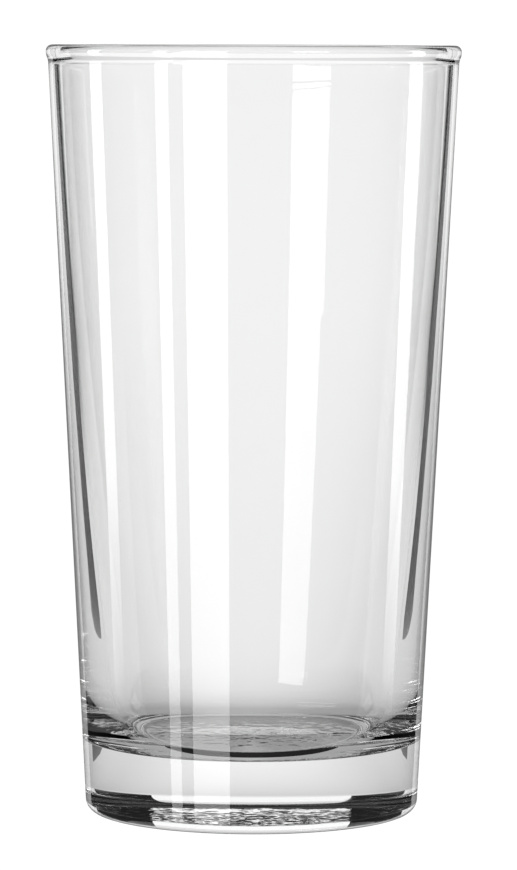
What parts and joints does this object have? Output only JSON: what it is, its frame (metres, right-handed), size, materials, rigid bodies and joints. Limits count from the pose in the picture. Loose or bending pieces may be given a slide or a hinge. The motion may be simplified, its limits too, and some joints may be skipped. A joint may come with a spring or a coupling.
{
  "type": "pint glass",
  "caption": "Clear straight-sided pint glass that flares gently from a thick heavy base to a fire-polished rim bead; an open drinking vessel for cold drinks.",
  "frame": {"origin": "centre of the bearing plane, which is the lowest face of the glass", "axes": "+Z is the axis of revolution and points out of the mouth; X and Y are free because the glass is round"},
  "size_m": [0.0804, 0.0804, 0.1492],
  "materials": {
    "clear_glass": "clear colourless soda-lime glass, fire-polished, with a finely stippled underside"
  },
  "bodies": {
    "root": {"tumbler": "clear_glass"}
  },
  "joints": []
}
